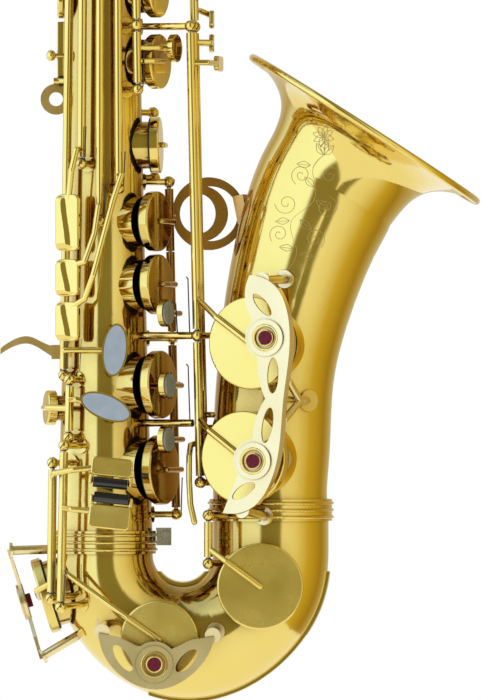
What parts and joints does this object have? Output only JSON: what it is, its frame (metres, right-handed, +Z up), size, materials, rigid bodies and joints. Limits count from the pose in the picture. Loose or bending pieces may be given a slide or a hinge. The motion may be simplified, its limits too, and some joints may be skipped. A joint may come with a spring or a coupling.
{
  "type": "alto saxophone",
  "caption": "Conical brass reed instrument with an upturned bell, hinged keys with pads over tone holes, a curved neck with mouthpiece, and a ring for a strap.",
  "frame": {"origin": "centre of the strap ring's hole", "axes": "+Z up along the body tube, towards the neck; +X from the body tube towards the bell; -Y towards the player's right side, where the low key cups are"},
  "size_m": [0.3487, 0.1254, 0.6633],
  "materials": {
    "lacquered_brass": "clear gold lacquer, polished",
    "satin_brass": "pale satin lacquered brass",
    "hinge_steel": "ground steel rods and screws",
    "pearl": "mother-of-pearl style finger pearls",
    "felt": "dark red pressed felt",
    "pad_leather": "thin dark leather over felt",
    "black_resin": "polished black resin",
    "cork": "natural cork sleeve",
    "cane": "dry cane"
  },
  "bodies": {
    "a_key_body": {"a_key": "lacquered_brass"},
    "b_key_body": {"b_key": "lacquered_brass"},
    "instrument": {"bell": "lacquered_brass", "bell_brace": "lacquered_brass", "bell_key_guard": "satin_brass", "body_tube": "lacquered_brass", "bow": "lacquered_brass", "bow_guard": "lacquered_brass", "bow_key_guards": "satin_brass", "clamp_screws": "hinge_steel", "guard_felts": "felt", "hinge_rods": "hinge_steel", "joint_rings": "lacquered_brass", "key_posts": "lacquered_brass", "ligature": "satin_brass", "mouthpiece": "black_resin", "neck": "lacquered_brass", "neck_cork": "cork", "neck_receiver": "lacquered_brass", "reed": "cane", "strap_ring": "lacquered_brass", "thumb_hook": "lacquered_brass", "thumb_rest": "lacquered_brass"},
    "c_key_body": {"c_key": "lacquered_brass"},
    "d_key_body": {"d_key": "lacquered_brass", "d_pearl": "pearl"},
    "e_key_body": {"e_key": "lacquered_brass", "e_pearl": "pearl"},
    "f_key_body": {"f_key": "lacquered_brass", "f_pearl": "pearl"},
    "fsharp_key_body": {"fsharp_key": "lacquered_brass"},
    "g_key_body": {"g_key": "lacquered_brass"},
    "gsharp_key_body": {"gsharp_key": "lacquered_brass"},
    "gsharp_lever_body": {"gsharp_lever": "lacquered_brass"},
    "high_e_key_body": {"high_e_key": "lacquered_brass"},
    "high_fsharp_key_body": {"high_fsharp_key": "lacquered_brass", "high_fsharp_pearl": "pearl"},
    "low_b_key_body": {"low_b_key": "lacquered_brass", "low_b_pad": "pad_leather"},
    "low_b_lever_body": {"low_b_lever": "lacquered_brass"},
    "low_bflat_key_body": {"low_bflat_key": "lacquered_brass", "low_bflat_pad": "pad_leather"},
    "low_c_key_body": {"low_c_key": "lacquered_brass", "low_c_pad": "pad_leather"},
    "roller_low_c_roller": {"low_c_roller": "black_resin"},
    "low_csharp_key_body": {"low_csharp_key": "lacquered_brass", "low_csharp_pad": "pad_leather"},
    "low_csharp_lever_body": {"low_csharp_lever": "lacquered_brass"},
    "low_eflat_key_body": {"low_eflat_key": "lacquered_brass", "low_eflat_pad": "pad_leather"},
    "roller_low_eflat_roller": {"low_eflat_roller": "black_resin"},
    "neck_octave_key_body": {"neck_octave_key": "lacquered_brass"},
    "octave_thumb_key_body": {"octave_thumb_key": "lacquered_brass"},
    "palm_d_key_body": {"palm_d_key": "lacquered_brass"},
    "palm_eflat_key_body": {"palm_eflat_key": "lacquered_brass"},
    "palm_f_key_body": {"palm_f_key": "lacquered_brass"},
    "side_bflat_key_body": {"side_bflat_key": "lacquered_brass"},
    "side_c_key_body": {"side_c_key": "lacquered_brass"},
    "trill_fsharp_key_body": {"trill_fsharp_key": "lacquered_brass", "trill_fsharp_pearl": "pearl"}
  },
  "joints": [
    {"name": "low_b_key_hinge", "type": "hinge", "parent": "instrument", "child": "low_b_key_body", "pos_m": [0.06633, -0.02189, -0.173], "axis": [-0.022, 0.0382, 0.999], "range_deg": [0, 6.5], "stiffness_Nm_per_rad": 0.02, "springref_deg": -20.05},
    {"name": "low_bflat_key_hinge", "type": "hinge", "parent": "instrument", "child": "low_bflat_key_body", "pos_m": [0.06485, -0.01931, -0.1056], "axis": [-0.022, 0.0382, 0.999], "range_deg": [0, 6.5], "stiffness_Nm_per_rad": 0.02, "springref_deg": -20.05},
    {"name": "low_b_lever_hinge", "type": "hinge", "parent": "instrument", "child": "low_b_lever_body", "pos_m": [0.06763, -0.01338, -0.148], "axis": [-0.0244, 0.0406, 0.9989], "range_deg": [0, 4], "stiffness_Nm_per_rad": 0.02, "springref_deg": -20.05},
    {"name": "low_csharp_lever_hinge", "type": "hinge", "parent": "instrument", "child": "low_csharp_lever_body", "pos_m": [0.06784, -0.00489, -0.165], "axis": [-0.0208, 0.0372, 0.9991], "range_deg": [0, 4], "stiffness_Nm_per_rad": 0.02, "springref_deg": -20.05},
    {"name": "gsharp_lever_hinge", "type": "hinge", "parent": "instrument", "child": "gsharp_lever_body", "pos_m": [0.06364, 0.00261, 0.0363], "axis": [-0.0208, 0.0372, 0.9991], "range_deg": [0, 4], "stiffness_Nm_per_rad": 0.02, "springref_deg": -20.05},
    {"name": "low_csharp_key_hinge", "type": "hinge", "parent": "instrument", "child": "low_csharp_key_body", "pos_m": [0.0701, -0.0296, -0.21], "axis": [0, 0, -1], "range_deg": [0, 7], "stiffness_Nm_per_rad": 0.02, "springref_deg": -20.05},
    {"name": "low_c_key_hinge", "type": "hinge", "parent": "instrument", "child": "low_c_key_body", "pos_m": [0.00266, -0.0294, -0.23], "axis": [0.0203, 0, 0.9998], "range_deg": [0, 5], "stiffness_Nm_per_rad": 0.02, "springref_deg": -20.05},
    {"name": "low_eflat_key_hinge", "type": "hinge", "parent": "instrument", "child": "low_eflat_key_body", "pos_m": [-0.00187, -0.024, -0.226], "axis": [0.0113, 0, 0.9999], "range_deg": [0, 5.5], "stiffness_Nm_per_rad": 0.02, "springref_deg": -20.05},
    {"name": "d_key_hinge", "type": "hinge", "parent": "instrument", "child": "d_key_body", "pos_m": [0.05511, 0.00497, -0.18771], "axis": [0.0221, -0.0138, -0.9997], "range_deg": [0, 7], "stiffness_Nm_per_rad": 0.02, "springref_deg": -20.05},
    {"name": "e_key_hinge", "type": "hinge", "parent": "instrument", "child": "e_key_body", "pos_m": [0.05427, 0.0055, -0.14972], "axis": [0.0221, -0.0138, -0.9997], "range_deg": [0, 7], "stiffness_Nm_per_rad": 0.02, "springref_deg": -20.05},
    {"name": "f_key_hinge", "type": "hinge", "parent": "instrument", "child": "f_key_body", "pos_m": [0.05333, 0.00609, -0.10674], "axis": [0.0221, -0.0138, -0.9997], "range_deg": [0, 7], "stiffness_Nm_per_rad": 0.02, "springref_deg": -20.05},
    {"name": "fsharp_key_hinge", "type": "hinge", "parent": "instrument", "child": "fsharp_key_body", "pos_m": [0.05251, 0.0066, -0.06975], "axis": [0.0221, -0.0138, -0.9997], "range_deg": [0, 7], "stiffness_Nm_per_rad": 0.02, "springref_deg": -20.05},
    {"name": "g_key_hinge", "type": "hinge", "parent": "instrument", "child": "g_key_body", "pos_m": [0.03759, -0.02164, 0.00726], "axis": [-0.0164, 0.0044, 0.9999], "range_deg": [0, 7], "stiffness_Nm_per_rad": 0.02, "springref_deg": -20.05},
    {"name": "a_key_hinge", "type": "hinge", "parent": "instrument", "child": "a_key_body", "pos_m": [0.03711, -0.02151, 0.03676], "axis": [-0.0164, 0.0044, 0.9999], "range_deg": [0, 7], "stiffness_Nm_per_rad": 0.02, "springref_deg": -20.05},
    {"name": "b_key_hinge", "type": "hinge", "parent": "instrument", "child": "b_key_body", "pos_m": [0.03668, -0.0214, 0.06305], "axis": [-0.0164, 0.0044, 0.9999], "range_deg": [0, 7], "stiffness_Nm_per_rad": 0.02, "springref_deg": -20.05},
    {"name": "c_key_hinge", "type": "hinge", "parent": "instrument", "child": "c_key_body", "pos_m": [0.03625, -0.02128, 0.08905], "axis": [-0.0164, 0.0044, 0.9999], "range_deg": [0, 7], "stiffness_Nm_per_rad": 0.02, "springref_deg": -20.05},
    {"name": "gsharp_key_hinge", "type": "hinge", "parent": "instrument", "child": "gsharp_key_body", "pos_m": [0.04504, 0.0166, -0.03293], "axis": [-0.0211, 0.0018, 0.9998], "range_deg": [0, 8], "stiffness_Nm_per_rad": 0.02, "springref_deg": -20.05},
    {"name": "high_e_key_hinge", "type": "hinge", "parent": "instrument", "child": "high_e_key_body", "pos_m": [0.01199, -0.02255, -0.02688], "axis": [-0.0066, -0.0142, -0.9999], "range_deg": [0, 7], "stiffness_Nm_per_rad": 0.02, "springref_deg": -20.05},
    {"name": "side_c_key_hinge", "type": "hinge", "parent": "instrument", "child": "side_c_key_body", "pos_m": [0.02028, -0.02536, -0.05287], "axis": [-0.0015, -0.017, -0.9999], "range_deg": [0, 7], "stiffness_Nm_per_rad": 0.02, "springref_deg": -20.05},
    {"name": "side_bflat_key_hinge", "type": "hinge", "parent": "instrument", "child": "side_bflat_key_body", "pos_m": [0.029, -0.02427, -0.03837], "axis": [0.0045, -0.0169, -0.9998], "range_deg": [0, 7], "stiffness_Nm_per_rad": 0.02, "springref_deg": -20.05},
    {"name": "high_fsharp_key_hinge", "type": "hinge", "parent": "instrument", "child": "high_fsharp_key_body", "pos_m": [0.00386, -0.01564, -0.12392], "axis": [0.0136, 0.0114, 0.9998], "range_deg": [0, 8], "stiffness_Nm_per_rad": 0.02, "springref_deg": -20.05},
    {"name": "trill_fsharp_key_hinge", "type": "hinge", "parent": "instrument", "child": "trill_fsharp_key_body", "pos_m": [0.00619, -0.02087, -0.15234], "axis": [0.0169, 0.0216, 0.9996], "range_deg": [0, 8], "stiffness_Nm_per_rad": 0.02, "springref_deg": -20.05},
    {"name": "palm_d_key_hinge", "type": "hinge", "parent": "instrument", "child": "palm_d_key_body", "pos_m": [0.02543, 0.02384, 0.10812], "axis": [-0.9962, -0.0872, 0], "range_deg": [0, 6], "stiffness_Nm_per_rad": 0.02, "springref_deg": -20.05},
    {"name": "palm_eflat_key_hinge", "type": "hinge", "parent": "instrument", "child": "palm_eflat_key_body", "pos_m": [0.04073, 0.01521, 0.12811], "axis": [-0.788, 0.6157, 0], "range_deg": [0, 6], "stiffness_Nm_per_rad": 0.02, "springref_deg": -20.05},
    {"name": "palm_f_key_hinge", "type": "hinge", "parent": "instrument", "child": "palm_f_key_body", "pos_m": [0.00898, 0.0189, 0.17009], "axis": [-0.6691, -0.7431, 0], "range_deg": [0, 6], "stiffness_Nm_per_rad": 0.02, "springref_deg": -20.05},
    {"name": "octave_thumb_key_hinge", "type": "hinge", "parent": "instrument", "child": "octave_thumb_key_body", "pos_m": [-0.00018, 0.005, 0.09611], "axis": [0, -1, 0], "range_deg": [0, 6], "stiffness_Nm_per_rad": 0.02, "springref_deg": -20.05},
    {"name": "neck_octave_key_hinge", "type": "hinge", "parent": "instrument", "child": "neck_octave_key_body", "pos_m": [0.02117, -0.005, 0.36242], "axis": [0, 1, 0], "range_deg": [0, 5], "stiffness_Nm_per_rad": 0.02, "springref_deg": -20.05},
    {"name": "low_c_roller_spin", "type": "hinge", "parent": "low_c_key_body", "child": "roller_low_c_roller", "pos_m": [0.02587, -0.04329, -0.18302], "axis": [0.9907, -0.0868, -0.1045], "continuous": true},
    {"name": "low_eflat_roller_spin", "type": "hinge", "parent": "low_eflat_key_body", "child": "roller_low_eflat_roller", "pos_m": [0.02533, -0.0413, -0.17616], "axis": [0.9945, 0, -0.1045], "continuous": true}
  ],
  "couplings": [
    {"joint": "low_b_key_hinge", "follows": "low_b_lever_hinge", "ratio": 1.625},
    {"joint": "low_csharp_key_hinge", "follows": "low_csharp_lever_hinge", "ratio": 1.75},
    {"joint": "gsharp_key_hinge", "follows": "gsharp_lever_hinge", "ratio": 2},
    {"joint": "fsharp_key_hinge", "follows": "f_key_hinge", "ratio": 1},
    {"joint": "neck_octave_key_hinge", "follows": "octave_thumb_key_hinge", "ratio": 0.83333}
  ]
}
